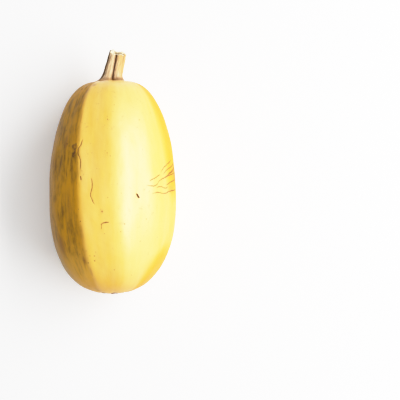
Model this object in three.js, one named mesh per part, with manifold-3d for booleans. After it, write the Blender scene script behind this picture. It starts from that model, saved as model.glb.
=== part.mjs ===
// A spaghetti squash lying on its side, in millimetres.
//
// The fruit's long axis runs along Y with the stem towards +Y, and Z is up. The origin is the
// centre of the ground spot, the flattened patch on which the fruit rests, so the surface that
// it lies on is the plane z = 0. Angles round the fruit are measured from the top towards +X.
//
// Three pieces: the ribbed fruit, the five-ridged woody stem on its neck end, and the corky
// scar with the dried remains of the flower in the dimple at the other end.

import * as THREE from "three";
import { mergeVertices } from "three/addons/utils/BufferGeometryUtils.js";
import Module from "manifold-3d";

const wasm = await Module();
wasm.setup();

// Fruit: the widest place is at y = 0, and the two ends have their own length and fullness.
const FRUIT_RADIUS = 66.9;
const STEM_END = { length: 126.9, along: 2.0, round: 3.24 };
const BLOSSOM_END = { length: 94.6, along: 2.0, round: 2.585 };
const FRUIT_LENGTH = STEM_END.length + BLOSSOM_END.length;

// Faces between the ribs: the direction that each looks in, in degrees, and its distance from
// the axis as a share of the radius. The face at 180 degrees is the one the fruit lay on.
const FACES = [
  { at: -76, off: 0.966 },
  { at: -41, off: 0.954 },
  { at: -4, off: 0.957 },
  { at: 32, off: 0.96 },
  { at: 68.5, off: 0.952 },
  { at: 104, off: 0.958 },
  { at: 141, off: 0.956 },
  { at: 180, off: 0.945 },
  { at: 219, off: 0.954 },
  { at: 251, off: 0.969 },
];
const GROUND_FACE = FACES.find((face) => face.at === 180);
const RIB_SHARPNESS = 60;
const RIB_TWIST = 13;

// Hollows at the two ends.
const STEM_HOLLOW = { depth: 1.6, radius: 24 };
const BLOSSOM_HOLLOW = { depth: 3.0, radius: 19 };

// The ground spot is cut this much into the face that the fruit lies on.
const GROUND_SPOT_DEPTH = 1.3;

// Stem: height is measured from the fruit's end. The stem stands a little off the axis and
// leans over towards +X, by a power of the height. Its grooves start at an angle and turn back
// by the twist, in degrees, on their way up.
const STEM_HEIGHT = 28.5;
const STEM_OFFSET = -0.8;
const STEM_NECK_RADIUS = 9.1;
const STEM_TAPER = { extra: 2.4, fade: 13 };
const STEM_FOOT = { extra: 7.0, fade: 2.3 };
const STEM_ROOT = 7;
const STEM_RIDGES = 5;
const STEM_GROOVE_AT = 10;
const STEM_TWIST = 12;
const STEM_GROOVE_DEPTH = 0.36;
const STEM_LEAN = 6.4;
const STEM_LIFT = 1.6;
const STEM_BEND_POWER = 1.3;
const STEM_CUT_NORMAL = new THREE.Vector3(0.27, 1, 0.3).normalize();

// Blossom scar: a corky disc that thins towards its edge, with the withered flower base
// standing on it.
const SCAR_RADIUS = 11.5;
const SCAR_THICKNESS = 2.0;
const SCAR_THINNING = 0.8;
const SCAR_SEAT = 5;
const NUB_RADIUS = 3.4;
const NUB_HEIGHT = 1.4;

// A piece seated on the fruit keeps this gap to it.
const SEAT_GAP = 0.3;

// Steps of each surface, and the powers that crowd the rows towards the stem's foot and the
// scar's middle.
const FRUIT_STEPS = { round: 60, along: 34 };
const STEM_STEPS = { round: 50, along: 16, crowding: 1.6 };
const SCAR_STEPS = { round: 24, across: 9, crowding: 1.3 };

// Cutting boxes are larger than what they cut, and vertices closer than this are one.
const GROUND_BOX = 400;
const STEM_BOX = 80;
const WELD_DISTANCE = 1e-4;

const AXIS_HEIGHT = FRUIT_RADIUS * GROUND_FACE.off - GROUND_SPOT_DEPTH;

const radians = THREE.MathUtils.degToRad;

// Distance from the axis to a rounded polygon, as a share of the radius: the p-norm of how far
// the direction reaches towards each face, with a large p, is the polygon with soft corners.
function ribbed(angle) {
  let sum = 0;
  for (const face of FACES) {
    const towards = Math.max(0, Math.cos(angle - radians(face.at)));
    sum += (towards / face.off) ** RIB_SHARPNESS;
  }
  return sum ** (-1 / RIB_SHARPNESS);
}

// Radius of the fruit at a place y along it, before the ribs: a superellipse on each side of
// the widest place.
function girth(y) {
  const end = y > 0 ? STEM_END : BLOSSOM_END;
  const share = Math.min(1, Math.abs(y) / end.length);
  return FRUIT_RADIUS * (1 - share ** end.along) ** (1 / end.round);
}

// How far the surface sinks along the axis at a distance from it, in one of the end hollows.
function sinking(hollow, radius) {
  return hollow.depth * Math.exp(-((radius / hollow.radius) ** 2));
}

// The fruit's surface at a place along it, sunk by the hollow at that end.
function sunken(y, radius) {
  return y > 0 ? y - sinking(STEM_HOLLOW, radius) : y + sinking(BLOSSOM_HOLLOW, radius);
}

// Moves each vertex of a lathed geometry to where place(angle, radius, y) puts it.
function reshape(geometry, place) {
  const position = geometry.getAttribute("position");
  const point = new THREE.Vector3();
  for (let i = 0; i < position.count; i++) {
    point.fromBufferAttribute(position, i);
    const angle = Math.atan2(point.x, point.z);
    const radius = Math.hypot(point.x, point.z);
    place(angle, radius, point);
    position.setXYZ(i, point.x, point.y, point.z);
  }
  return geometry;
}

// The fruit about its own axis, grown outwards by a margin. The rows are spaced by the cosine,
// so they crowd towards the ends where the shape turns fastest.
function fruitGeometry(margin = 0) {
  const profile = [];
  for (let i = 0; i <= FRUIT_STEPS.along; i++) {
    const turn = Math.cos((Math.PI * i) / FRUIT_STEPS.along);
    const y = turn * (turn > 0 ? STEM_END.length : BLOSSOM_END.length);
    const radius = i % FRUIT_STEPS.along ? girth(y) + margin : 0;
    profile.unshift(new THREE.Vector2(radius, y + margin * Math.sign(turn)));
  }
  const lathe = new THREE.LatheGeometry(profile, FRUIT_STEPS.round);
  return reshape(lathe, (angle, radius, point) => {
    const twist = radians(RIB_TWIST) * (point.y / FRUIT_LENGTH);
    const outwards = radius * ribbed(angle + twist);
    point.set(outwards * Math.sin(angle), sunken(point.y, radius), outwards * Math.cos(angle));
  });
}

// Radius of the stem at a height and an angle: a neck that widens downwards and spreads into
// a foot, with a valley between each two ridges.
function stemRadius(height, angle) {
  const groove = radians(STEM_GROOVE_AT - (STEM_TWIST * height) / STEM_HEIGHT);
  const ridge = Math.abs(Math.sin((STEM_RIDGES / 2) * (angle - groove)));
  const foot = STEM_FOOT.extra * Math.exp(-Math.max(0, height) / STEM_FOOT.fade);
  const neck = STEM_NECK_RADIUS + STEM_TAPER.extra * Math.exp(-height / STEM_TAPER.fade);
  return (neck + foot * (0.5 + 0.5 * ridge)) * (1 - STEM_GROOVE_DEPTH * (1 - ridge) ** 2);
}

// The stem about its own axis, from a root inside the fruit to past the cut, with its lean.
function stemGeometry() {
  const top = STEM_HEIGHT + STEM_NECK_RADIUS;
  const profile = [new THREE.Vector2(0, -STEM_ROOT)];
  for (let i = 0; i <= STEM_STEPS.along; i++) {
    const height = i ? top * (i / STEM_STEPS.along) ** STEM_STEPS.crowding : -STEM_ROOT;
    profile.push(new THREE.Vector2(1, height));
  }
  profile.push(new THREE.Vector2(0, top));
  const lathe = new THREE.LatheGeometry(profile, STEM_STEPS.round);
  return reshape(lathe, (angle, radius, point) => {
    const outwards = radius * stemRadius(point.y, angle);
    const bend = (Math.max(0, point.y) / STEM_HEIGHT) ** STEM_BEND_POWER;
    point.x = outwards * Math.sin(angle) + STEM_OFFSET + STEM_LEAN * bend;
    point.z = outwards * Math.cos(angle) + STEM_LIFT * bend;
  });
}

// The scar about its own axis, standing out towards -Y from the floor of its hollow: a disc
// that follows the hollow and thins to its edge, with the nub's round bump in the middle.
function scarGeometry() {
  const profile = [];
  for (let i = 0; i < SCAR_STEPS.across; i++) {
    const radius = SCAR_RADIUS * (i / (SCAR_STEPS.across - 1)) ** SCAR_STEPS.crowding;
    const rise = BLOSSOM_HOLLOW.depth - sinking(BLOSSOM_HOLLOW, radius);
    const disc = SCAR_THICKNESS * Math.sqrt(1 - SCAR_THINNING * (radius / SCAR_RADIUS) ** 4);
    const nub = NUB_HEIGHT * Math.exp(-((radius / NUB_RADIUS) ** 4));
    profile.push(new THREE.Vector2(radius, -rise - disc - nub));
  }
  profile.push(new THREE.Vector2(SCAR_RADIUS, SCAR_SEAT), new THREE.Vector2(0, SCAR_SEAT));
  return new THREE.LatheGeometry(profile, SCAR_STEPS.round);
}

// A box on the far side of a plane, for cutting with: the plane passes through a point and
// the box lies where its normal points.
function beyond(point, normal, size) {
  const box = new THREE.BoxGeometry(size, size, size).translate(0, size / 2, 0);
  const turn = new THREE.Quaternion().setFromUnitVectors(new THREE.Vector3(0, 1, 0), normal);
  return box.applyQuaternion(turn).translate(point.x, point.y, point.z);
}

function solidFrom(geometry) {
  const bare = geometry.clone();
  bare.deleteAttribute("normal");
  bare.deleteAttribute("uv");
  const merged = mergeVertices(bare, WELD_DISTANCE);
  const mesh = new wasm.Mesh({
    numProp: 3,
    vertProperties: new Float32Array(merged.getAttribute("position").array),
    triVerts: new Uint32Array(merged.getIndex().array),
  });
  return new wasm.Manifold(mesh);
}

function geometryFrom(solid) {
  const mesh = solid.getMesh();
  const geometry = new THREE.BufferGeometry();
  geometry.setAttribute("position", new THREE.BufferAttribute(mesh.vertProperties, 3));
  geometry.setIndex(new THREE.BufferAttribute(mesh.triVerts, 1));
  geometry.computeVertexNormals();
  return geometry;
}

function piece(name, solid, color, roughness) {
  const material = new THREE.MeshStandardMaterial({ color, roughness, metalness: 0 });
  const mesh = new THREE.Mesh(geometryFrom(solid), material);
  mesh.name = name;
  mesh.position.z = AXIS_HEIGHT;
  return mesh;
}

const seat = solidFrom(fruitGeometry(SEAT_GAP));

function makeFruit() {
  const down = new THREE.Vector3(0, 0, -1);
  const ground = beyond(new THREE.Vector3(0, 0, -AXIS_HEIGHT), down, GROUND_BOX);
  return solidFrom(fruitGeometry()).subtract(solidFrom(ground));
}

function makeStem() {
  const geometry = stemGeometry().translate(0, STEM_END.length, 0);
  const top = STEM_END.length + STEM_HEIGHT;
  const cutAt = new THREE.Vector3(STEM_OFFSET + STEM_LEAN, top, STEM_LIFT);
  const waste = solidFrom(beyond(cutAt, STEM_CUT_NORMAL, STEM_BOX));
  return solidFrom(geometry).subtract(waste).subtract(seat);
}

function makeScar() {
  const floor = -BLOSSOM_END.length + BLOSSOM_HOLLOW.depth;
  return solidFrom(scarGeometry().translate(0, floor, 0)).subtract(seat);
}

const squash = new THREE.Group();
squash.add(piece("fruit", makeFruit(), 0xf2c744, 0.45));
squash.add(piece("stem", makeStem(), 0xc9985f, 0.85));
squash.add(piece("blossom_scar", makeScar(), 0x5a3b20, 0.9));

export default squash;
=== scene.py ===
import math

import bpy
import numpy as np
from bpy.props import FloatProperty, FloatVectorProperty, PointerProperty
from bpy.types import Operator, Panel, PropertyGroup
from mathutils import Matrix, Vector


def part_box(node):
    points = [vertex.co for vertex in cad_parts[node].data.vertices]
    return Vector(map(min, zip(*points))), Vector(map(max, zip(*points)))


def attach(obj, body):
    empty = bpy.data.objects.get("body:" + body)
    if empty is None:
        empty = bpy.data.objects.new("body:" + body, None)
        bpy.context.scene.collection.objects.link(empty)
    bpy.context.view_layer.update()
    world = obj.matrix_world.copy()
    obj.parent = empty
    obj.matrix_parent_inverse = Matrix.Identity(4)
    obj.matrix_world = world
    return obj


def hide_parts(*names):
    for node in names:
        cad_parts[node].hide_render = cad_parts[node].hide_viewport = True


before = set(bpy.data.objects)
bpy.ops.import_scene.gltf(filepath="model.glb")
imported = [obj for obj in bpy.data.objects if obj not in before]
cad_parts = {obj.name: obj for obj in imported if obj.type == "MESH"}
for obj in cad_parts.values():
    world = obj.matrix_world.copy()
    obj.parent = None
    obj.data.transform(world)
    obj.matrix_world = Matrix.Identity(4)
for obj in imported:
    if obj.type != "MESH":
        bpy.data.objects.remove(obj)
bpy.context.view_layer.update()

bl_info = {
    "name": "Spaghetti Squash",
    "version": (1, 0, 0),
    "blender": (4, 5, 0),
    "location": "3D View > Sidebar > Squash",
    "description": "A ripe spaghetti squash lying on its side, with its woody stem and blossom scar",
    "category": "Add Mesh",
}

# Everything is in metres. The fruit's long axis runs along Y with the stem towards +Y, and Z is
# up from the ground spot it lies on. "Along" is a place on that axis, and "around" is an angle
# about it, from the top towards +X.

MM = 0.001
FRUIT_LOW, FRUIT_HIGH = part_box("fruit")
SCAR_LOW, SCAR_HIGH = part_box("blossom_scar")

# Faces between the ribs: the angle that each looks in, in degrees, and its distance from the
# axis as a share of the radius. The face at 180 degrees is the one the fruit lies on.
FACES = [
    (-76, 0.966), (-41, 0.954), (-4, 0.957), (32, 0.96), (68.5, 0.958),
    (104, 0.965), (141, 0.956), (180, 0.945), (219, 0.954), (251, 0.969),
]
# Narrow faces that round off some of the ribs.
BEVELS = [(14, 0.979), (50, 0.981), (86.5, 0.997), (122, 0.985), (-125, 0.988), (-58.5, 0.987)]
GROUND_FACE = dict(FACES)[180]
# Fullness of the fruit's side towards each end, as the power of its superellipse, and how wide
# the hollow is at each end.
STEM_FULLNESS, BLOSSOM_FULLNESS = 3.24, 2.585
STEM_HOLLOW_WIDTH, BLOSSOM_HOLLOW_WIDTH = 24 * MM, 19 * MM
# Which way the stem's slanting cut looks, and how deep its root reaches into the fruit.
STEM_CUT = (0.2, 1, 0.42)
STEM_ROOT = 4 * MM
# The clear wax over the rind.
WAX_ROUGHNESS, WAX_IOR = 0.42, 1.65
# The floor's half width, and the gap that keeps it from touching the fruit.
FLOOR_REACH, FLOOR_GAP = 8, 0.1 * MM
# The camera stands aside, so the fruit lies left of the middle of its view.
CAMERA_ASIDE = (0.091, 0.0026)
SKY_SEEN = 0.95
# Brightness, as a share of the white level, and the tone it is shown as.
WHITE_LEVEL = 2.5
SHOULDER = ((0.12, 0.3), (0.22, 0.55), (0.32, 0.755), (0.45, 0.9), (0.65, 0.975))

# The growth scars of the rind, as paths of (along in mm, around in degrees).
RIB_CRACK = [(62, -22.8), (56, -24), (50, -26.2), (44, -24.2), (38.5, -23), (31.5, -23.2)]
RIB_NICK = [(26, -22.4), (21.5, -21.8)]
LONG_SCRATCH = [(24, -13.2), (17, -11.8), (11.4, -12.5), (8.5, -13.1), (3.5, -11.8), (-2, -9.6)]
SLIT = [(9.2, 27.6), (4.2, 29.8)]
TEE_STALK = [(-20.4, -3.5), (-25.6, -3.8)]
# These run round the fruit: the rub marks on its +X side, as (around in degrees, along in mm).
RUBS = [
    [(37, 17.2), (45, 16.6), (52, 22.2), (64, 26), (84, 31)],
    [(42, 7.2), (49, 10), (58, 9.1), (68, 11.2), (84, 13.2)],
    [(54, 30), (60, 35), (66, 38), (76, 43.5)],
    [(58, 28), (66, 33), (74, 36), (82, 41)],
    [(40, 21), (47, 25), (53, 28)],
    [(62, 17), (71, 20.4), (83, 24)],
    [(47, 13), (52, 16), (60, 14.6), (66, 17)],
    [(68, 29), (77, 33), (86, 38)],
    [(60, 24), (70, 29), (80, 33)],
    [(-4, -20.8), (-1, -19.3), (3, -18.8)],
]
# Small round blemishes: (along in mm, around in degrees, radius in mm).
SPOTS = [
    (114.6, -48.5, 1.5), (74, -58, 0.8), (72, -47.8, 0.8), (68.4, -56.5, 0.8), (57.9, -42.2, 1.2),
    (55.6, -38.6, 0.9), (-21, -3.6, 1.1), (-20.6, 16.5, 1.0), (-28.1, 13.2, 0.7),
    (9.2, 13.5, 0.6), (-16.1, 37.8, 0.8), (-6.3, -23.8, 0.7), (-18.1, -22.2, 1.0),
    (-59, -19.8, 0.9), (-56.8, -12.6, 1.0), (-52, -12.2, 0.8), (-51.8, -16.5, 0.8),
    (-48, -10.5, 0.6), (84.3, 0.5, 0.6), (81.3, 1, 0.8), (81.6, 34.8, 0.8),
    (50, -0.6, 0.6), (48, 1.3, 0.7), (46, 1.2, 0.6), (45, 4, 0.7), (-8.5, -3, 1.0),
    (-30, -1, 0.6), (-44, 6, 0.5), (-66, 8, 0.6), (18, 10, 0.5), (64, 18, 0.5), (-36, 24, 0.5),
    (96, 8, 0.5), (33, -8, 0.5), (-72, 30, 0.6), (5, 2, 0.5),
]
# Soft brown smudges: (along in mm, around in degrees, half length and half width in mm, depth
# of colour from 0 to 1).
SMUDGES = [
    (111, -31.5, 6, 2.0, 0.7), (101, -30, 9, 1.2, 0.6), (118, -25, 2.5, 3, 0.6),
    (84, -27, 9, 1.0, 0.5), (-57, -24, 5, 2.5, 0.7), (-68, -19, 6, 1.6, 0.4),
    (-8.5, -3, 3, 2.2, 0.3), (-20, 14, 2, 4, 0.25), (29, 84, 13, 9, 0.6), (14, 72, 6, 9, 0.35),
    (60, -44, 9, 4, 0.5), (-42, -52, 14, 6, 0.7), (-20, -68, 18, 5, 0.5), (40, -60, 14, 6, 0.4),
    (0, -35, 16, 3, 0.35), (-30, 120, 12, 7, 0.5), (60, -135, 14, 6, 0.6), (20, 160, 10, 8, 0.4),
]
# Shallow dents: (along in mm, around in degrees, half width in mm, depth in mm). A bulge has
# a negative depth.
DENTS = [
    (72, -62, 13, 0.5), (18, -58, 17, 0.45), (-42, -45, 15, 0.35), (-62, -50, 12, 0.4),
    (98, 20, 14, 0.4), (-10, -3, 9, 0.25), (30, 60, 16, 0.5), (-50, 55, 18, 0.5),
    (55, 128, 15, 0.6), (-28, -128, 18, 0.7), (80, -150, 12, 0.5), (-5, 105, 14, 0.4),
    (65, 88, 36, -0.75), (-42, 88, 26, -0.65), (-28, -92, 18, -0.3),
]


# Shapes

def waves(points, size, seed, count=40):
    """A smooth random field of unit spread: the sum of many cosine waves in random directions,
    whose lengths lie round a size, or round one size for each axis."""
    rng = np.random.default_rng(seed)
    way = rng.normal(size=(count, 3))
    way /= np.linalg.norm(way, axis=1, keepdims=True)
    turns = 2 * np.pi * way / (np.asarray(size) * rng.uniform(0.7, 1.5, (count, 1)))
    start = rng.uniform(0, 2 * np.pi, count)
    return np.cos(points @ turns.T + start).sum(axis=-1) / math.sqrt(count / 2)


def bell(distance, width):
    """The bell curve exp(-(distance / width) squared)."""
    return np.exp(-((distance / width) ** 2))


def step(value, low, high):
    """A smooth step from 0 at low to 1 at high: t squared times 3 minus 2 t."""
    t = np.clip((value - low) / (high - low), 0, 1)
    return t * t * (3 - 2 * t)


def outwards(rings):
    """Unit normals of a grid of rings: the cross product of the way along and the way round."""
    along = np.gradient(rings, axis=0)
    round_ = np.roll(rings, -1, axis=1) - np.roll(rings, 1, axis=1)
    normal = np.cross(along, round_)
    normal /= np.linalg.norm(normal, axis=-1, keepdims=True)
    middle = rings.mean(axis=1, keepdims=True)
    side = np.sign(((rings - middle) * normal).sum(axis=-1).mean())
    return normal * side


def skin(name, rings, layers):
    """A closed mesh from a grid of points, ring by ring. Neighbouring rings are joined by
    quads, and the first and last ring by a fan of triangles to their middle. Each layer is a
    value or vector for every grid point, kept as an attribute of the mesh."""
    count, around = rings.shape[:2]
    points = np.vstack([rings[0].mean(0), rings.reshape(-1, 3), rings[-1].mean(0)])
    here = 1 + np.arange(count * around).reshape(count, around)
    there = np.roll(here, -1, axis=1)
    quads = np.stack([here[:-1], there[:-1], there[1:], here[1:]], -1).reshape(-1, 4)
    first = np.stack([np.zeros(around, int), there[0], here[0]], -1)
    last = np.stack([np.full(around, len(points) - 1), here[-1], there[-1]], -1)
    thirds = np.vstack([quads[:, [0, 1, 2]], quads[:, [0, 2, 3]], first, last])
    a, b, c = points[thirds].transpose(1, 0, 2)
    if (a * np.cross(b, c)).sum() < 0:
        quads, first, last = quads[:, ::-1], first[:, ::-1], last[:, ::-1]
    mesh = bpy.data.meshes.new(name)
    mesh.from_pydata(points.tolist(), [], quads.tolist() + first.tolist() + last.tolist())
    for label, value in layers.items():
        flat = value.reshape(count * around, -1)
        flat = np.vstack([value[0].reshape(around, -1).mean(0), flat,
                          value[-1].reshape(around, -1).mean(0)])
        kind, slot = ("FLOAT", "value") if flat.shape[1] == 1 else ("FLOAT_VECTOR", "vector")
        mesh.attributes.new(label, kind, "POINT").data.foreach_set(slot, flat.ravel())
    mesh.shade_smooth()
    if mesh.validate():
        raise ValueError(f"the mesh of {name} has faces that can't be used")
    return mesh


def axis_height(sizes):
    """Height of the fruit's axis: from its lowest face, less what the ground flattens."""
    return FRUIT_LOW.z + sizes.radius * GROUND_FACE - sizes.ground_flat


def end_hollow(along, radius, sizes):
    """How far the two ends sink along the axis: a bell curve of the distance from it."""
    stem = sizes.stem_hollow * bell(radius, STEM_HOLLOW_WIDTH)
    blossom = sizes.blossom_hollow * bell(radius, BLOSSOM_HOLLOW_WIDTH)
    return np.where(along > 0, -stem, blossom)


def girth(sizes, rows):
    """The fruit's side as places (along, radius), evenly spaced by length along the curve: a
    superellipse on each side of the widest place, the two with their own length and fullness."""
    turn = np.cos(np.linspace(0, np.pi, 6001))
    length = np.where(turn > 0, sizes.stem_end, sizes.blossom_end)
    fullness = np.where(turn > 0, STEM_FULLNESS, BLOSSOM_FULLNESS)
    radius = sizes.radius * (1 - turn**2) ** (1 / fullness)
    walked = np.hypot(np.diff(turn * length), np.diff(radius)).cumsum()
    even = np.linspace(0, walked[-1], rows + 2)[1:-1]
    walked = np.insert(walked, 0, 0)
    return np.interp(even, walked, turn * length), np.interp(even, walked, radius)


def ribbed(around, along, sizes):
    """Distance from the axis to a many-sided ring with soft corners, as a share of the radius:
    the p-norm of how far the direction reaches towards each face. The ring turns slowly along
    the fruit, the faces wander a little, and the corners soften towards the two ends."""
    place = along / sizes.stem_end
    sharp = sizes.rib_sharpness * (1 - 0.3 * place**2 - 0.7 * np.minimum(0, place) ** 2)
    turned = around + sizes.twist * along / (sizes.stem_end + sizes.blossom_end)
    total = 0
    for number, (at, off) in enumerate(FACES + BEVELS):
        at = math.radians(at) + 0.016 * np.sin(3.1 * place + 2.4 * number)
        off = off * (1 + 0.0022 * np.sin(4.3 * place + 1.7 * number))
        total = total + (np.maximum(0, np.cos(turned - at)) / off) ** sharp
    return total ** (-1 / sharp)


def path_offset(path, around, along, radius):
    """Signed distance to a path that runs along the fruit, measured round it, and how far a
    point lies past the path's two ends."""
    place, angle = np.array(sorted(path)).T
    centre = np.radians(np.interp(along, place * MM, angle))
    past = np.maximum(place[0] * MM - along, along - place[-1] * MM)
    return (around - centre) * radius, np.maximum(0, past)


def rind_relief(points, around, along, radius, sizes):
    """Height of the skin above the plain ribbed fruit: long and short swells, faint lengthwise
    lines, dents, puckers at the two ends, and scars that are a groove between raised lips."""
    lines = np.stack([np.sin(around), 9 * along, np.cos(around)], -1)
    height = sizes.swell * waves(points, (0.05, 0.1, 0.05), 3)
    height += 0.25 * sizes.swell * waves(points, (0.014, 0.034, 0.014), 4)
    height += 0.06 * sizes.swell * waves(points, 0.0055, 5)
    height += 0.08 * sizes.swell * waves(lines, 0.14, 6)
    for place, angle, width, depth in DENTS:
        away = np.hypot(along - place * MM, (around - math.radians(angle)) * radius)
        height -= depth * MM * bell(away, width * MM)
    for path, width, depth in ((RIB_CRACK, 0.7, 0.25), (RIB_NICK, 0.7, 0.2),
                               (LONG_SCRATCH, 0.6, 0.14), (SLIT, 0.8, 0.25)):
        off, past = path_offset(path, around, along, radius)
        keep = bell(past, 1.2 * MM)
        height -= depth * MM * bell(off, width * MM) * keep
        height += 0.3 * depth * MM * bell(np.abs(off) - 2 * width * MM, width * MM) * keep
    puckers = np.cos(10 * around + 1) * bell(radius - 17 * MM, 9 * MM)
    height += np.where(along > 0, 0.35, 0.5) * MM * puckers
    return height


def scab_patch(points, around, along, radius):
    """Raised rough cork beside the rib crack, from 0 to 1: two overlapping bell curves with a
    ragged edge."""
    ragged = 1 + 0.5 * waves(points, 0.004, 21) + 0.3 * waves(points, 0.0016, 23)
    a = bell(np.hypot(along - 54.5 * MM, (around + math.radians(30.5)) * radius), 3.2 * MM)
    b = bell(np.hypot((along - 49 * MM) * 0.5, (around + math.radians(31)) * radius), 2.3 * MM)
    return step(np.maximum(a, b) * ragged, 0.22, 0.5)


def rind_mesh(sizes, rows=256, columns=384):
    """The fruit: the ribbed ring carried along the axis, sunk at both ends, raised by its
    relief along the normals, and flattened smoothly where it lies on the ground."""
    along, radius = girth(sizes, rows)
    around = np.linspace(-np.pi, np.pi, columns, endpoint=False)
    along, around = np.meshgrid(along, around, indexing="ij")
    radius = radius[:, None] * ribbed(around, along, sizes)
    sunk = along + end_hollow(along, radius, sizes)
    rings = np.stack([radius * np.sin(around), sunk, radius * np.cos(around)], -1)
    scab = scab_patch(rings, around, along, radius)
    height = rind_relief(rings, around, along, radius, sizes)
    height += 0.35 * MM * scab * (1 + 0.8 * waves(rings, 0.003, 22))
    rings += outwards(rings) * height[..., None]
    rings[..., 2] += axis_height(sizes)
    above = rings[..., 2] - FRUIT_LOW.z
    above = 0.5 * (above + np.sqrt(above**2 + (0.3 * MM) ** 2))
    rings[..., 2] = FRUIT_LOW.z + above - above.min()
    return skin("rind", rings, {"scab": scab})


def stem_radius(height, around, sizes):
    """Radius of the stem: a neck that widens downwards and spreads into a foot, with ridges
    that are the absolute value of a sine, so the valleys between them are sharp."""
    valley = np.radians(10 - 12 * height / sizes.height) + 0.05 * np.sin(height / (9 * MM))
    turn = 2.5 * (around - valley)
    ridge = np.abs(np.sin(turn))
    strength = 1 + 0.16 * np.sin(around + 2.2) * np.exp(-height / (20 * MM))
    foot = sizes.foot * np.exp(-(height + 1.7 * MM) / (2.5 * MM)) * strength
    neck = sizes.neck_radius + 2.4 * MM * np.exp(-height / (13 * MM))
    flat = 1 - sizes.groove_depth * (1 - ridge) ** 1.8
    return (neck + np.minimum(foot, 1.35 * sizes.foot) * (0.35 + 0.65 * ridge)) * flat, ridge


def stem_place(height, around, sizes):
    """Points of the stem's side at a height above the fruit's end and an angle, and how much
    each stands on a ridge. The stem bends over towards +X as a power of the height."""
    radius, ridge = stem_radius(height, around, sizes)
    fibres = np.stack([np.sin(around), height * 16, np.cos(around)], -1)
    radius = radius + 0.16 * MM * waves(fibres, 0.22, 31) + 0.1 * MM * waves(fibres, 0.1, 32)
    bend = (np.maximum(0, height) / sizes.height) ** 1.3
    x = radius * np.sin(around) + sizes.offset + sizes.lean * bend
    z = radius * np.cos(around) + 0.25 * sizes.lean * bend
    return np.stack([x, sizes.base + height, z], -1), ridge


def stem_mesh(sizes, fruit, rows=120, cap_rows=34, columns=260):
    """The stem: its side from a root inside the fruit to the slanting cut, then the cut face
    as rings that shrink to the middle, with a raised bark edge and sunken pith."""
    around = np.linspace(-np.pi, np.pi, columns, endpoint=False)
    cut = np.array(STEM_CUT)
    through = np.array([sizes.offset + sizes.lean, sizes.base + sizes.height,
                        0.25 * sizes.lean])
    top = np.full(columns, sizes.height)
    for _ in range(8):
        rim, _ridge = stem_place(top, around, sizes)
        top = top - (rim - through) @ cut
    jagged = np.stack([np.sin(around), 0 * around, np.cos(around)], -1)
    top = top + 0.5 * MM * waves(jagged, 0.9, 33) + 0.4 * MM * waves(jagged, 0.3, 34)
    share = np.linspace(0, 1, rows)[:, None] ** 1.4
    height = -STEM_ROOT + (top + STEM_ROOT) * share
    side, ridge = stem_place(height, np.broadcast_to(around, height.shape), sizes)
    rim, middle = side[-1], side[-1].mean(axis=0)
    inward = np.linspace(0, 1, cap_rows + 1)[1:, None] ** 1.2 * 0.985
    ring = rim + (middle - rim) * inward[..., None]
    near = 1 - inward + 0 * around
    dish = 0.35 * bell(near - 0.93, 0.05) - 0.5 * step(0.85 - near, 0, 0.35)
    dish -= 1.6 * step(0.42 - near, 0, 0.3)
    dish += 0.4 * waves(ring, 0.0022, 35) * step(inward, 0, 0.15)
    normal = cut / np.linalg.norm(cut)
    cap = ring + (dish * MM)[..., None] * normal
    rings = np.concatenate([side, cap])
    rings[..., 2] += axis_height(fruit)
    sideways = np.broadcast_to(np.stack([np.sin(around), np.cos(around)], -1),
                               (*height.shape, 2))
    grain = np.concatenate([sideways, height[..., None] / sizes.height], -1)
    grain = np.concatenate([grain, np.broadcast_to(grain[-1], (cap_rows, columns, 3))])
    depth = np.concatenate([0 * height, np.broadcast_to(inward, near.shape)])
    # How much each point stands on a ridge, from which the stem's valleys are painted with shade.
    ridge_share = np.concatenate([ridge, np.broadcast_to(ridge[-1], near.shape)])
    return skin("stem", rings, {"grain": grain, "inward": depth, "ridge": ridge_share})


def scar_mesh(sizes, fruit, rows=70, columns=160):
    """The blossom scar: a thin corky disc that follows the hollow it sits in, cracked into
    petals, with the withered flower base as a rough bump in the middle."""
    around = np.linspace(-np.pi, np.pi, columns, endpoint=False)
    share = np.linspace(0.02, 1, rows)[:, None]
    ragged = 1 + 0.05 * np.sin(5 * around + 0.6) + 0.03 * np.sin(11 * around)
    radius = sizes.radius * share * ragged
    rise = fruit.blossom_hollow * (1 - bell(radius, BLOSSOM_HOLLOW_WIDTH))
    disc = sizes.thickness * np.sqrt(np.maximum(0, 1 - 0.8 * share**4))
    nub = sizes.nub_height * bell(radius, 3.4 * MM) ** 2
    petals = 1 + 0.3 * np.cos(5 * around)
    floor = -fruit.blossom_end + fruit.blossom_hollow
    y = floor - rise - disc * (1 - 0.25 * step(np.cos(5 * around + 2), 0.6, 1)) - nub * petals
    top = np.stack([radius * np.sin(around), y, radius * np.cos(around)], -1)
    top[..., 1] -= 0.16 * MM * waves(top, 0.0028, 41) * step(1.02 - share, 0, 0.3)
    root = top[-1].copy()
    root[:, 1] = floor + 2 * MM
    rings = np.concatenate([top, root[None], root[None] * [0.5, 1, 0.5]])
    rings[..., 2] += axis_height(fruit)
    edge = np.concatenate([np.broadcast_to(share, radius.shape), np.ones((2, columns))])
    return skin("blossom_scar", rings, {"edge": edge})


# Shading

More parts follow.
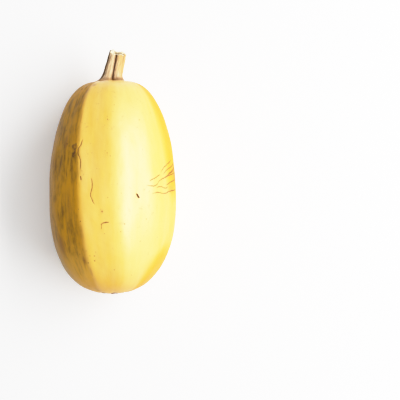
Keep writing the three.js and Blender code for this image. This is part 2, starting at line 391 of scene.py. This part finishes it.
class Field:
    """The value at an output socket, used in Python arithmetic."""

    def __init__(self, shading, socket):
        self.shading, self.socket = shading, socket

    def __add__(self, other):
        return self.shading.join("ADD", self, other)

    def __radd__(self, other):
        return self.shading.join("ADD", other, self)

    def __sub__(self, other):
        return self.shading.join("SUBTRACT", self, other)

    def __rsub__(self, other):
        return self.shading.join("SUBTRACT", other, self)

    def __mul__(self, other):
        return self.shading.join("MULTIPLY", self, other)

    def __rmul__(self, other):
        return self.shading.join("MULTIPLY", other, self)

    def __abs__(self):
        return self.shading.join("ABSOLUTE", self)

    def least(self, other):
        return self.shading.join("MINIMUM", self, other)

    def most(self, other):
        return self.shading.join("MAXIMUM", self, other)

    def length(self):
        return self.shading.node("VectorMath", {"operation": "LENGTH"}, {0: self})

    def step(self, low, high):
        """A smooth step from 0 at low to 1 at high. With low above high it falls."""
        settings = {"interpolation_type": "SMOOTHSTEP"}
        if low > high:
            return 1 - self.step(high, low)
        return self.shading.node("MapRange", settings, {"Value": self, 1: low, 2: high})

    def parts(self):
        """The three numbers of a vector."""
        return [self.shading.node("SeparateXYZ", {}, {0: self}, output=i) for i in range(3)]


class Shading:
    """The node tree of one material."""

    def __init__(self, name):
        self.material = bpy.data.materials.new(name)
        self.material.use_nodes = True
        self.tree = self.material.node_tree
        self.tree.nodes.clear()

    def node(self, kind, settings=None, inputs=None, output=0):
        """Adds a node: its settings first, then the values or links of its sockets, by name or
        number. Returns one of its outputs."""
        node = self.tree.nodes.new("ShaderNode" + kind)
        for key, value in (settings or {}).items():
            if key == "curve":
                self.bend(node.mapping, value)
            else:
                setattr(node, key, value)
        sockets = [s for s in node.inputs if s.enabled]
        for key, value in (inputs or {}).items():
            if isinstance(key, str):
                socket = next(s for s in sockets if s.name == key)
            else:
                socket = sockets[key]
            if isinstance(value, Field):
                self.tree.links.new(value.socket, socket)
            elif socket.type == "RGBA":
                socket.default_value = (*value, 1)
            else:
                socket.default_value = value
        outputs = [s for s in node.outputs if s.enabled]
        if isinstance(output, str):
            return Field(self, next(s for s in outputs if s.name == output))
        return Field(self, outputs[output]) if outputs else None

    def join(self, operation, *values):
        """Adds a Math node for numbers, or a Vector Math node where a value is a vector."""
        vector = any(isinstance(v, tuple) or isinstance(v, Field) and v.socket.type == "VECTOR"
                     for v in values)
        if vector:
            values = [(v,) * 3 if isinstance(v, (int, float)) else v for v in values]
        return self.node("VectorMath" if vector else "Math", {"operation": operation},
                         dict(enumerate(values)))

    @staticmethod
    def bend(mapping, points):
        """Sets a curve's points, which run from 0 to 1 both ways."""
        curve = mapping.curves[0]
        for x, y in points[1:-1]:
            curve.points.new(x, y)
        curve.points[0].location = points[0]
        curve.points[-1].location = points[-1]
        mapping.update()

    def mix(self, share, a, b):
        """Colour a where share is 0, and b where it is 1."""
        return self.node("Mix", {"data_type": "RGBA"}, {"Factor": share, "A": a, "B": b})

    def noise(self, place, scale, detail=2.0, roughness=0.5):
        """Noise about 0, mostly from -1 to 1."""
        found = self.node("TexNoise", {}, {"Vector": place, "Scale": scale, "Detail": detail,
                                           "Roughness": roughness})
        return (found - 0.5) * 3.0

    def vector(self, x, y, z):
        return self.node("CombineXYZ", {}, {0: x, 1: y, 2: z})

    def attribute(self, name, output="Fac"):
        return self.node("Attribute", {"attribute_name": name}, output=output)

    def finish(self, colour, roughness, height, specular=0.5, coat=0.0):
        """Joins a colour, a roughness, a height in millimetres and a share of clear wax to the
        surface."""
        bump = self.node("Bump", {}, {"Strength": 1.0, "Distance": MM, "Height": height})
        surface = self.node("BsdfPrincipled", {}, {
            "Base Color": colour, "Roughness": roughness, "Normal": bump,
            "Specular IOR Level": specular, "Coat Weight": coat,
            "Coat Roughness": WAX_ROUGHNESS, "Coat IOR": WAX_IOR})
        self.node("OutputMaterial", {}, {"Surface": surface})
        return self.material


def path_mark(shading, path, travel, across, scale, width, wobble):
    """How much a point lies on a thin mark, from 0 to 1. The mark follows a path of (travel,
    across): a curve gives where it is at each place of travel, and its ends are pointed."""
    places, offs = np.array(sorted(path), float).T
    reach, low, high = places[-1] - places[0], offs.min(), offs.max() + 0.001
    t = (travel - places[0]) * (1 / reach)
    points = [((p - places[0]) / reach, (o - low) / (high - low))
              for p, o in zip(places, offs, strict=True)]
    centre = shading.node("FloatCurve", {"curve": points}, {"Value": t}) * (high - low) + low
    taper = (t * (1 - t) * 9).least(1).most(0)
    off = abs((across - centre) * scale + wobble) - taper * width
    return off.step(0.35, -0.15) * taper.step(0, 0.25)


def rind_material(finish, sizes):
    """Waxy golden skin: paler and deeper patches, fine lengthwise lines, brown corky scars,
    specks and smudges, a duller browner -X side that is painted shade over real olive mottles, a
    paler band painted as sheen on the lit face, amber painted as orange reflected light and shade
    along the +X rim and at the blossom end, and a cream patch where the fruit lay."""
    s = Shading("rind")
    place = s.node("TexCoord", output="Object")
    x, y, z = place.parts()
    up = z - axis_height(sizes)
    arc = s.vector(x, 0, up).length() * (math.radians(1) / MM)
    around = s.join("ARCTAN2", x, up) * math.degrees(1)
    along = y * (1 / MM)
    full_length = sizes.stem_end + sizes.blossom_end
    turned = around + y * (math.degrees(sizes.twist) / full_length)

    angle = turned * math.radians(1)
    lines = s.vector(s.join("SINE", angle), y * 3.2, s.join("COSINE", angle))
    fine_lines = s.noise(lines, 30, 3, 0.65)
    streaks = s.noise(lines, 15, 3, 0.6)
    broad_lines = s.noise(lines, 7, 2, 0.5)
    patches = s.noise(place, 22, 3, 0.6)
    mottle = s.noise(place * (1.0, 0.45, 1.0), 95, 4, 0.65)
    grain = s.noise(place, 700, 2, 0.6)
    wobble = s.noise(place, 330, 2, 0.6) * 0.3

    # Painted shade: the -X side, which faces away from the lights, is laid over with ochre, less
    # towards the blossom end, and its clear wax is left off.
    shaded_side = turned.step(-19, -27) * turned.step(-172, -140)
    painted_shade = shaded_side * (0.3 + 0.7 * along.step(-82, -30))
    # Painted orange reflected light and shade: amber along the +X rim, reaching further round
    # towards the blossom end, and over the blossom end itself; the clear wax is left off there too.
    ends = along.step(-5, 25).most(along.step(-35, -60))
    rim = (turned + 24 * along.step(-20, -85)).step(52, 80) * (0.45 + 0.55 * ends)
    rim = rim.most(turned.step(40, 60) * 0.3).most(along.step(-62, -90) * 0.5)
    # Painted sheen: the face between about 8 and 58 degrees, where the lights' highlight falls, is
    # painted paler, towards lemon.
    pale = turned.step(8, 24) * turned.step(58, 42)
    colour = s.mix((0.4 + 0.3 * broad_lines + 0.25 * patches + 0.5 * pale).step(0, 1),
                   finish.gold, finish.lemon)
    colour = s.mix((fine_lines + 0.6 * mottle).step(0.1, 1.5) * 0.3, colour, finish.ochre)
    colour = s.mix(rim, colour, finish.amber)
    # The painted shade of the -X side, in ochre.
    colour = s.mix(painted_shade * 0.9, colour, finish.ochre)
    # Olive on the -X side: real darker mottles and streaks, with painted shade that deepens on the
    # face turned down and out, from -52 to -80 degrees.
    rubs_and_shade = (0.7 * mottle + 1.1 * streaks + 0.5 * patches).step(-0.5, 1.0) * painted_shade
    rubs_and_shade = (rubs_and_shade * 0.9).most(shaded_side * turned.step(-52, -80) * 0.5)
    colour = s.mix(rubs_and_shade, colour, finish.olive)

    for smudge_along, smudge_around, long, wide, depth in SMUDGES:
        off = s.vector((around - smudge_around) * arc * (1 / wide),
                       (along - smudge_along) * (1 / long), 0).length()
        colour = s.mix((off + 0.35 * mottle).step(1.15, 0.2) * depth, colour, finish.rust)

    marks = 0.0
    for path, width, depth in ((RIB_CRACK, 0.38, 0.95), (RIB_NICK, 0.55, 0.9),
                               (LONG_SCRATCH, 0.34, 0.95), (TEE_STALK, 0.3, 0.7)):
        mark = path_mark(s, path, along, around, arc, width, wobble) * depth
        marks = mark.most(marks)
    for path in RUBS:
        mark = path_mark(s, path, around, along, 1, 0.45, wobble * 1.8)
        marks = (mark * (0.85 + 0.3 * mottle)).most(marks)
    for spot_along, spot_around, size in SPOTS:
        off = s.vector((around - spot_around) * arc, along - spot_along, 0).length()
        marks = ((off + wobble).step(size, size * 0.3) * 0.75).most(marks)
    flecks = (s.noise(place, 240, 3, 0.6) + 0.5 * patches).step(0.42, 0.85) * 0.45
    colour = s.mix(flecks, colour, finish.olive)
    scab = s.attribute("scab")
    colour = s.mix(scab * (0.75 + 0.5 * mottle).least(1).most(0.2), colour, finish.scab)
    colour = s.mix(marks, colour, finish.scar)
    slit = path_mark(s, SLIT, along, around, arc, 1.1, wobble)
    colour = s.mix(slit, colour, finish.bark)
    marks = marks.most(slit)

    ground = (z * (1 / MM) + 1.4 * mottle).step(6, 0.8)
    colour = s.mix(ground * 0.75, colour, finish.cream)
    roughness = 0.46 + 0.04 * patches + 0.04 * mottle + 0.25 * ground
    roughness = roughness + 0.3 * marks.most(scab)
    height = 0.012 * grain + 0.03 * fine_lines + 0.02 * mottle - 0.12 * marks
    wax = (1 - shaded_side.most(rim.step(0, 0.8))) * (1 - marks.most(scab))
    return s.finish(colour, roughness, height, 0.12, wax)


def stem_material(finish):
    """Dry ridged wood: pale straw on the ridges with orange streaks, dark brown in the valleys as
    painted shade, darker wood with painted contact shade at the foot, darker wood with painted shade
    down the -X flank, and a pale torn cut with an olive pith."""
    s = Shading("stem")
    place = s.node("TexCoord", output="Object")
    grain = s.attribute("grain", "Vector")
    inward, ridge = s.attribute("inward"), s.attribute("ridge")
    fibres = s.noise(grain * (1.0, 1.0, 0.55), 9, 4, 0.7)
    threads = s.noise(grain * (1.0, 1.0, 0.18), 30, 2, 0.6)
    blotch = s.noise(place, 160, 3, 0.6)
    side_x, _side_z, height = grain.parts()
    colour = s.mix((0.35 + 0.6 * fibres).step(0, 1), finish.straw, finish.chaff)
    warm = (0.8 * height + 0.8 * side_x + 0.3 * blotch).step(0.4, 1.1)
    colour = s.mix(warm * 0.8, colour, finish.tan)
    colour = s.mix((threads + 0.4 * blotch).step(0.3, 1.5) * 0.5, colour, finish.umber)
    # Painted shade: the valleys between the ridges are darkened to bark.
    valley = (ridge + 0.14 * fibres).step(0.58, 0.12)
    colour = s.mix(valley * 0.9, colour, finish.bark)
    # Darker wood with painted shade down the -X flank, away from the lights.
    flank = (0 - side_x + 0.2 * fibres).step(0.68, 0.92)
    colour = s.mix(flank * 0.75, colour, finish.bark)
    # Darker wood with painted contact shade at the foot, where the stem meets the fruit.
    foot = (height + 0.04 * blotch - 0.05 * side_x).step(0.1, 0.0)
    colour = s.mix(foot * 0.75, colour, finish.umber)
    torn = s.mix((0.5 + blotch).step(0, 1), finish.pith, finish.cream)
    core = (inward + 0.25 * blotch).step(0.45, 0.7)
    torn = s.mix(core * 0.85, torn, finish.olive)
    colour = s.mix(inward.step(0, 0.03), colour, torn)
    relief = 0.12 * fibres + 0.1 * threads + 0.05 * blotch
    return s.finish(colour, 0.78 + 0.06 * fibres, relief, 0.3)


def scar_material(finish):
    """Dull brown cork, lighter in the middle."""
    s = Shading("blossom_scar")
    place = s.node("TexCoord", output="Object")
    edge = s.attribute("edge")
    rough = s.noise(place, 420.0, 4.0, 0.65)
    blotch = s.noise(place, 130.0, 2.0, 0.5)
    colour = s.mix((0.5 + 0.5 * rough + 0.3 * blotch).step(0.0, 1.0), finish.bark, finish.umber)
    colour = s.mix((edge + 0.08 * rough).step(0.35, 0.1) * 0.6, colour, finish.tan)
    return s.finish(colour, 0.88 + 0.04 * rough, 0.16 * rough, 0.25)


def floor_material(finish):
    """Matt white acrylic, faintly lit from below as a light table is."""
    s = Shading("floor")
    surface = s.node("BsdfPrincipled", {}, {
        "Base Color": finish.floor, "Roughness": 0.9, "Specular IOR Level": 0.2,
        "Emission Color": finish.floor, "Emission Strength": 0.35})
    s.node("OutputMaterial", {}, {"Surface": surface})
    return s.material


# Settings that a user would change

class SQUASH_PG_fruit(PropertyGroup):
    radius: FloatProperty(
        name="Radius", description="Largest distance from the axis to a rib",
        default=0.0669, min=0.03, unit="LENGTH")
    stem_end: FloatProperty(
        name="Stem end", description="Length from the widest place to the stem end",
        default=0.1269, min=0.04, unit="LENGTH")
    blossom_end: FloatProperty(
        name="Blossom end", description="Length from the widest place to the blossom end",
        default=0.0946, min=0.04, unit="LENGTH")
    rib_sharpness: FloatProperty(
        name="Rib sharpness", description="Power of the soft corner between two faces",
        default=60, min=8, max=90)
    twist: FloatProperty(
        name="Twist", description="Turn of the ribs over the fruit's length",
        default=math.radians(13), subtype="ANGLE")
    swell: FloatProperty(
        name="Swell", description="Height of the slow unevenness of the skin",
        default=0.00032, min=0, unit="LENGTH")
    ground_flat: FloatProperty(
        name="Ground flat", description="How much the ground flattens the lowest face",
        default=0.0013, min=0, unit="LENGTH")
    stem_hollow: FloatProperty(
        name="Stem hollow", description="Depth of the dip at the stem",
        default=0.0016, min=0, unit="LENGTH")
    blossom_hollow: FloatProperty(
        name="Blossom hollow", description="Depth of the dip at the blossom scar",
        default=0.003, min=0, unit="LENGTH")


class SQUASH_PG_stem(PropertyGroup):
    base: FloatProperty(
        name="Base", description="Where the stem starts along the fruit's axis",
        default=0.1269, unit="LENGTH")
    offset: FloatProperty(
        name="Offset", description="How far the stem stands to the side of the axis",
        default=-0.0008, unit="LENGTH")
    height: FloatProperty(
        name="Height", description="Height of the middle of the cut above the base",
        default=0.0285, min=0.005, unit="LENGTH")
    neck_radius: FloatProperty(
        name="Neck radius", description="Distance from the stem's middle to a ridge",
        default=0.0091, min=0.002, unit="LENGTH")
    foot: FloatProperty(
        name="Foot", description="How far the ridges spread over the fruit",
        default=0.0074, min=0, unit="LENGTH")
    groove_depth: FloatProperty(
        name="Groove depth", description="Depth of the valleys as a share of the radius",
        default=0.42, min=0, max=0.8, subtype="FACTOR")
    lean: FloatProperty(
        name="Lean", description="How far the cut end leans over sideways",
        default=0.0064, unit="LENGTH")


class SQUASH_PG_scar(PropertyGroup):
    radius: FloatProperty(
        name="Radius", description="Radius of the corky disc",
        default=(SCAR_HIGH.x - SCAR_LOW.x) / 2, min=0.002, unit="LENGTH")
    thickness: FloatProperty(
        name="Thickness", description="Thickness of the disc",
        default=0.002, min=0.0002, unit="LENGTH")
    nub_height: FloatProperty(
        name="Nub height", description="Height of the withered flower base",
        default=0.0014, min=0, unit="LENGTH")


def colour_property(name, description, default):
    return FloatVectorProperty(name=name, description=description, default=default,
                               subtype="COLOR", min=0, max=1)


class SQUASH_PG_finish(PropertyGroup):
    gold: colour_property("Gold", "Deeper rind colour", (0.96, 0.54, 0.066))
    # Lemon is also painted as sheen where the highlight falls on the lit face.
    lemon: colour_property("Lemon", "Lighter rind colour", (0.95, 0.59, 0.15))
    # Amber is painted orange reflected light and shade along the +X rim and at the blossom end.
    amber: colour_property("Amber", "Rind low on the +X side and at the end", (0.82, 0.35, 0.006))
    # Ochre is also painted over the -X side as shade.
    ochre: colour_property("Ochre", "Lines in the rind, and its duller side", (0.76, 0.355, 0.004))
    # Olive also darkens the -X side, as real mottles with painted shade.
    olive: colour_property("Olive", "Rubbed places, flecks and pith", (0.23, 0.118, 0.015))
    rust: colour_property("Rust", "Soft smudges", (0.42, 0.18, 0.03))
    scab: colour_property("Scab", "Rough cork", (0.14, 0.07, 0.04))
    scar: colour_property("Scar", "Cracks and scratches in the rind", (0.22, 0.085, 0.03))
    cream: colour_property("Cream", "Ground spot and fresh cut", (0.90, 0.80, 0.56))
    tan: colour_property("Tan", "Warm wood of the stem, and middle of the scar", (0.62, 0.34, 0.10))
    # Bark is also painted as shade in the stem's valleys and down its -X flank.
    bark: colour_property("Bark", "Valleys and dark flank of the stem", (0.12, 0.052, 0.018))
    straw: colour_property("Straw", "Light wood of the stem", (0.70, 0.44, 0.22))
    chaff: colour_property("Chaff", "Palest fibres of the stem", (0.86, 0.66, 0.44))
    # Umber is also painted as contact shade at the stem's foot.
    umber: colour_property("Umber", "Dark wood of the stem", (0.34, 0.17, 0.06))
    pith: colour_property("Pith", "Torn fibres of the cut", (0.80, 0.62, 0.36))
    floor: colour_property("Floor", "The surface under the fruit", (0.86, 0.86, 0.86))


class SQUASH_PG_stage(PropertyGroup):
    camera_height: FloatProperty(
        name="Camera height", description="Height of the camera above the floor",
        default=0.9, min=0.3, unit="LENGTH")
    lens: FloatProperty(
        name="Lens", description="Focal length on a 36 mm sensor",
        default=72.4, min=20, unit="CAMERA")
    key_power: FloatProperty(
        name="Key light", description="Power of the long soft light low on the +X side",
        default=26.0, min=0, unit="POWER")
    overhead_power: FloatProperty(
        name="Overhead light", description="Power of the broad soft light high on the +X side",
        default=15.0, min=0, unit="POWER")
    sky: FloatProperty(
        name="Sky", description="Brightness of the even light from all round",
        default=0.13, min=0)


class SQUASH_PG_all(PropertyGroup):
    fruit: PointerProperty(type=SQUASH_PG_fruit)
    stem: PointerProperty(type=SQUASH_PG_stem)
    scar: PointerProperty(type=SQUASH_PG_scar)
    finish: PointerProperty(type=SQUASH_PG_finish)
    stage: PointerProperty(type=SQUASH_PG_stage)


# Operators

def add_object(name, data):
    thing = bpy.data.objects.new(name, data)
    bpy.context.scene.collection.objects.link(thing)
    return thing


def add_piece(name, mesh, material, node):
    """Puts a finished mesh in the scene in place of a CAD node, with its finish."""
    mesh.materials.append(material)
    piece = add_object(name, mesh)
    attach(piece, "root")
    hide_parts(node)
    return piece


def aim(thing, target):
    thing.rotation_mode = "QUATERNION"
    thing.rotation_quaternion = (target - thing.location).to_track_quat("-Z", "Y")


def soften_highlights(view):
    """Plain colours with a shoulder: above a middle tone, brightness rises ever more slowly up
    to white at the white level, as on film, so bright yellow turns to cream softly."""
    view.view_transform = "Standard"
    view.use_curve_mapping = True
    mapping = view.curve_mapping
    mapping.white_level = (WHITE_LEVEL,) * 3
    curve = mapping.curves[3]
    for x, y in SHOULDER:
        curve.points.new(x, y)
    mapping.update()


class SQUASH_OT_stage(Operator):
    """Adds the camera, the pale floor and the soft lights"""

    bl_idname = "squash.stage"
    bl_label = "Stage"

    def execute(self, context):
        settings = context.scene.squash.stage
        centre = (FRUIT_LOW + FRUIT_HIGH) / 2
        lens = bpy.data.cameras.new("camera")
        lens.sensor_width = 36
        lens.lens = settings.lens
        camera = add_object("camera", lens)
        camera.location = (*CAMERA_ASIDE, settings.camera_height)
        context.scene.camera = camera

        corners = [(-1, -1), (1, -1), (1, 1), (-1, 1)]
        points = [(x * FLOOR_REACH, y * FLOOR_REACH, FRUIT_LOW.z - FLOOR_GAP) for x, y in corners]
        mesh = bpy.data.meshes.new("floor")
        mesh.from_pydata(points, [], [(0, 1, 2, 3)])
        mesh.materials.append(floor_material(context.scene.squash.finish))
        add_object("floor", mesh)

        for name, power, size, way in (
            ("key", settings.key_power, (1.8, 0.6), (0.93, 0.08, 0.90)),
            ("overhead", settings.overhead_power, (1.6, 1.2), (0.60, 0.02, 1.30)),
        ):
            lamp = bpy.data.lights.new(name, "AREA")
            lamp.shape, lamp.energy = "RECTANGLE", power
            lamp.size, lamp.size_y = size
            light = add_object(name, lamp)
            light.location = centre + Vector(way)
            light.visible_camera = False
            aim(light, centre)

        world = bpy.data.worlds.new("sky")
        world.use_nodes = True
        nodes, links = world.node_tree.nodes, world.node_tree.links
        nodes["Background"].inputs["Color"].default_value = (1, 1, 1, 1)
        seen = nodes.new("ShaderNodeLightPath")
        strength = nodes.new("ShaderNodeMapRange")
        strength.inputs["To Min"].default_value = settings.sky
        strength.inputs["To Max"].default_value = SKY_SEEN
        links.new(seen.outputs["Is Camera Ray"], strength.inputs["Value"])
        links.new(strength.outputs["Result"], nodes["Background"].inputs["Strength"])
        context.scene.world = world
        soften_highlights(context.scene.view_settings)
        return {"FINISHED"}


class SQUASH_OT_rind(Operator):
    """Adds the ribbed fruit with its skin"""

    bl_idname = "squash.rind"
    bl_label = "Rind"

    def execute(self, context):
        squash = context.scene.squash
        material = rind_material(squash.finish, squash.fruit)
        add_piece("rind", rind_mesh(squash.fruit), material, "fruit")
        return {"FINISHED"}


class SQUASH_OT_stem(Operator):
    """Adds the ridged woody stem with its cut end"""

    bl_idname = "squash.stem"
    bl_label = "Stem"

    def execute(self, context):
        squash = context.scene.squash
        mesh = stem_mesh(squash.stem, squash.fruit)
        add_piece("dry_stem", mesh, stem_material(squash.finish), "stem")
        return {"FINISHED"}


class SQUASH_OT_scar(Operator):
    """Adds the corky scar where the flower was"""

    bl_idname = "squash.scar"
    bl_label = "Blossom scar"

    def execute(self, context):
        squash = context.scene.squash
        mesh = scar_mesh(squash.scar, squash.fruit)
        add_piece("blossom_cork", mesh, scar_material(squash.finish), "blossom_scar")
        return {"FINISHED"}


OPERATORS = (SQUASH_OT_stage, SQUASH_OT_rind, SQUASH_OT_stem, SQUASH_OT_scar)


class SQUASH_PT_sidebar(Panel):
    bl_idname = "SQUASH_PT_sidebar"
    bl_label = "Spaghetti Squash"
    bl_space_type = "VIEW_3D"
    bl_region_type = "UI"
    bl_category = "Squash"

    def draw(self, context):
        for operator in OPERATORS:
            self.layout.operator(operator.bl_idname)
        for name in ("fruit", "stem", "scar", "finish", "stage"):
            group = getattr(context.scene.squash, name)
            box = self.layout.box()
            box.label(text=name.capitalize())
            for key in group.__annotations__:
                box.prop(group, key)


CLASSES = (SQUASH_PG_fruit, SQUASH_PG_stem, SQUASH_PG_scar, SQUASH_PG_finish, SQUASH_PG_stage,
           SQUASH_PG_all, *OPERATORS, SQUASH_PT_sidebar)


def register():
    for each in CLASSES:
        bpy.utils.register_class(each)
    bpy.types.Scene.squash = PointerProperty(type=SQUASH_PG_all)


def unregister():
    del bpy.types.Scene.squash
    for each in reversed(CLASSES):
        bpy.utils.unregister_class(each)


def main():
    register()
    bpy.ops.squash.stage()
    bpy.ops.squash.rind()
    bpy.ops.squash.stem()
    bpy.ops.squash.scar()


if __name__ == "__main__":
    main()
